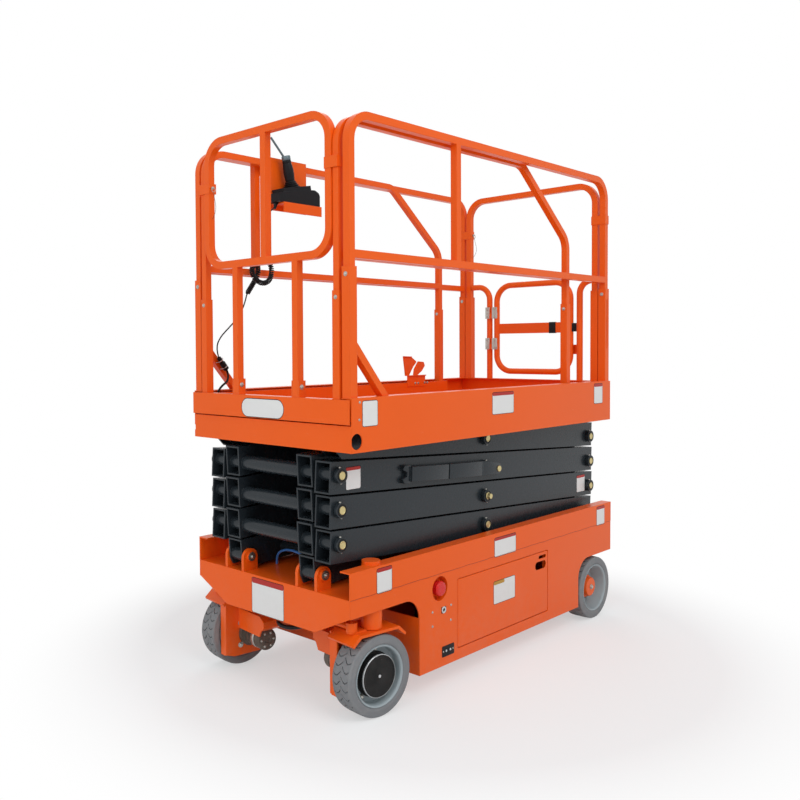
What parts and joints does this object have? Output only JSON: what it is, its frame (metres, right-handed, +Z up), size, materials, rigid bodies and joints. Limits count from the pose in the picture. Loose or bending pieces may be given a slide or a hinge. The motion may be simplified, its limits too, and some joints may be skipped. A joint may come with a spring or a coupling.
{
  "type": "self-propelled scissor lift",
  "caption": "Compact self-propelled scissor lift: folded scissor stack, steered front wheels, railed platform with a sliding extension deck, entry gate and control box.",
  "frame": {"origin": "on the floor under the middle of the machine", "axes": "+X forward to the steered wheels, +Y to the machine's left, +Z up"},
  "size_m": [1.856, 0.8664, 2.1541],
  "materials": {
    "orange_paint": "gloss orange paint",
    "scissor_grey": "semi-gloss dark grey paint",
    "tyre_grey": "matt non-marking grey",
    "hub_black": "satin black",
    "hub_grey": "satin grey",
    "zinc": "zinc plated",
    "chrome_rod": "polished",
    "motor_brown": "oily brown cast iron",
    "black_plastic": "textured black",
    "red_plastic": "gloss red",
    "cable_black": "matt black",
    "hose_blue": "satin blue",
    "battery_case": "dark grey"
  },
  "bodies": {
    "chassis": {"chassis_tub": "orange_paint", "chassis_deck": "orange_paint", "rear_box": "orange_paint", "side_rails": "orange_paint", "side_panels": "orange_paint", "battery_pack": "battery_case", "power_unit": "hub_black", "stop_buttons": "red_plastic", "drive_hose": "cable_black", "lift_hose": "hose_blue"},
    "door_left": {"side_door_left": "orange_paint"},
    "door_right": {"side_door_right": "orange_paint"},
    "steer_left": {"knuckle_left": "orange_paint", "drive_motor_left": "motor_brown"},
    "steer_right": {"knuckle_right": "orange_paint", "drive_motor_right": "motor_brown"},
    "tie_rod": {"tie_rod": "zinc"},
    "front_wheel_left": {"tyre_front_left": "tyre_grey", "wheel_front_left": "hub_black"},
    "front_wheel_right": {"tyre_front_right": "tyre_grey", "wheel_front_right": "hub_black"},
    "rear_wheel_left": {"tyre_rear_left": "tyre_grey", "wheel_rear_left": "hub_grey"},
    "rear_wheel_right": {"tyre_rear_right": "tyre_grey", "wheel_rear_right": "hub_grey"},
    "platform": {"platform_frame": "orange_paint", "main_guardrails": "orange_paint", "rear_guardrail": "orange_paint", "gate_posts": "orange_paint", "control_bracket": "orange_paint", "control_box": "black_plastic", "handle_rod": "zinc", "cable_lead": "cable_black", "cable_curl": "cable_black", "cable_tail": "cable_black", "cable_plug": "cable_black", "socket_conduit": "cable_black"},
    "gate": {"entry_gate": "orange_paint"},
    "extension": {"extension_deck": "orange_paint", "extension_guardrails": "orange_paint", "front_guardrail": "orange_paint"},
    "lift_barrel": {"lift_barrel": "scissor_grey"},
    "lift_rod": {"lift_rod": "chrome_rod"},
    "inner_1": {"inner_link_1": "scissor_grey"},
    "outer_1": {"outer_link_1": "scissor_grey", "base_rollers": "zinc"},
    "inner_2": {"inner_link_2": "scissor_grey"},
    "outer_2": {"outer_link_2": "scissor_grey"},
    "inner_3": {"inner_link_3": "scissor_grey"},
    "outer_3": {"outer_link_3": "scissor_grey"},
    "inner_4": {"inner_link_4": "scissor_grey", "top_rollers": "zinc"},
    "outer_4": {"outer_link_4": "scissor_grey"}
  },
  "joints": [
    {"name": "lift", "type": "hinge", "parent": "chassis", "child": "inner_1", "pos_m": [0.876, 0, 0.49], "axis": [0, 1, 0], "range_deg": [0, 45]},
    {"name": "centre_pin_1", "type": "hinge", "parent": "inner_1", "child": "outer_1", "pos_m": [0.005, 0, 0.54975], "axis": [0, 1, 0], "range_deg": [-90, 0]},
    {"name": "front_pin_1", "type": "hinge", "parent": "outer_1", "child": "inner_2", "pos_m": [0.876, 0, 0.6095], "axis": [0, 1, 0], "range_deg": [0, 90]},
    {"name": "centre_pin_2", "type": "hinge", "parent": "inner_2", "child": "outer_2", "pos_m": [0.005, 0, 0.66925], "axis": [0, 1, 0], "range_deg": [-90, 0]},
    {"name": "front_pin_2", "type": "hinge", "parent": "outer_2", "child": "inner_3", "pos_m": [0.876, 0, 0.729], "axis": [0, 1, 0], "range_deg": [0, 90]},
    {"name": "centre_pin_3", "type": "hinge", "parent": "inner_3", "child": "outer_3", "pos_m": [0.005, 0, 0.78875], "axis": [0, 1, 0], "range_deg": [-90, 0]},
    {"name": "front_pin_3", "type": "hinge", "parent": "outer_3", "child": "inner_4", "pos_m": [0.876, 0, 0.8485], "axis": [0, 1, 0], "range_deg": [0, 90]},
    {"name": "centre_pin_4", "type": "hinge", "parent": "inner_4", "child": "outer_4", "pos_m": [0.005, 0, 0.90825], "axis": [0, 1, 0], "range_deg": [-90, 0]},
    {"name": "platform_pin", "type": "hinge", "parent": "outer_4", "child": "platform", "pos_m": [0.876, 0, 0.968], "axis": [0, 1, 0], "range_deg": [0, 45]},
    {"name": "barrel_pivot", "type": "hinge", "parent": "inner_1", "child": "lift_barrel", "pos_m": [0.6859, 0, 0.49502], "axis": [0, 1, 0], "range_deg": [0, 15.4]},
    {"name": "rod_slide", "type": "slide", "parent": "lift_barrel", "child": "lift_rod", "axis": [-0.9799, 0, 0.1993], "range_m": [0, 1.154]},
    {"name": "steer", "type": "hinge", "parent": "chassis", "child": "steer_left", "pos_m": [0.76, 0.37, 0.3], "axis": [0, 0, 1], "range_deg": [-28, 42]},
    {"name": "steer_right", "type": "hinge", "parent": "chassis", "child": "steer_right", "pos_m": [0.76, -0.37, 0.3], "axis": [0, 0, 1], "range_deg": [-28, 42]},
    {"name": "tie_rod_pivot", "type": "hinge", "parent": "steer_left", "child": "tie_rod", "pos_m": [0.84933, 0.35903, 0.326], "axis": [0, 0, 1], "range_deg": [-42, 28]},
    {"name": "front_spin_left", "type": "hinge", "parent": "steer_left", "child": "front_wheel_left", "pos_m": [0.76, 0.37, 0.144], "axis": [0.1219, 0.9925, 0], "continuous": true},
    {"name": "rear_spin_left", "type": "hinge", "parent": "chassis", "child": "rear_wheel_left", "pos_m": [-0.77, 0.37, 0.144], "axis": [0, 1, 0], "continuous": true},
    {"name": "front_spin_right", "type": "hinge", "parent": "steer_right", "child": "front_wheel_right", "pos_m": [0.76, -0.37, 0.144], "axis": [0.1219, 0.9925, 0], "continuous": true},
    {"name": "rear_spin_right", "type": "hinge", "parent": "chassis", "child": "rear_wheel_right", "pos_m": [-0.77, -0.37, 0.144], "axis": [0, 1, 0], "continuous": true},
    {"name": "door_left_hinge", "type": "hinge", "parent": "chassis", "child": "door_left", "pos_m": [0.3095, 0.412, 0.262], "axis": [0, 0, -1], "range_deg": [0, 100]},
    {"name": "door_right_hinge", "type": "hinge", "parent": "chassis", "child": "door_right", "pos_m": [0.3095, -0.412, 0.262], "axis": [0, 0, 1], "range_deg": [0, 100]},
    {"name": "gate_hinge", "type": "hinge", "parent": "platform", "child": "gate", "pos_m": [-0.859, -0.2155, 1.38], "axis": [0, 0, -1], "range_deg": [0, 90]},
    {"name": "extension_slide", "type": "slide", "parent": "platform", "child": "extension", "axis": [1, 0, 0], "range_m": [0, 0.9]}
  ],
  "couplings": [
    {"joint": "centre_pin_1", "follows": "lift", "ratio": -2},
    {"joint": "front_pin_1", "follows": "lift", "ratio": 2},
    {"joint": "centre_pin_2", "follows": "lift", "ratio": -2},
    {"joint": "front_pin_2", "follows": "lift", "ratio": 2},
    {"joint": "centre_pin_3", "follows": "lift", "ratio": -2},
    {"joint": "front_pin_3", "follows": "lift", "ratio": 2},
    {"joint": "centre_pin_4", "follows": "lift", "ratio": -2},
    {"joint": "platform_pin", "follows": "lift", "ratio": 1},
    {"joint": "barrel_pivot", "follows": "lift", "ratio": 0.33017},
    {"joint": "rod_slide", "follows": "lift", "m_per_rad": 1.4683},
    {"joint": "steer_right", "follows": "steer", "ratio": 1},
    {"joint": "tie_rod_pivot", "follows": "steer", "ratio": -1}
  ]
}
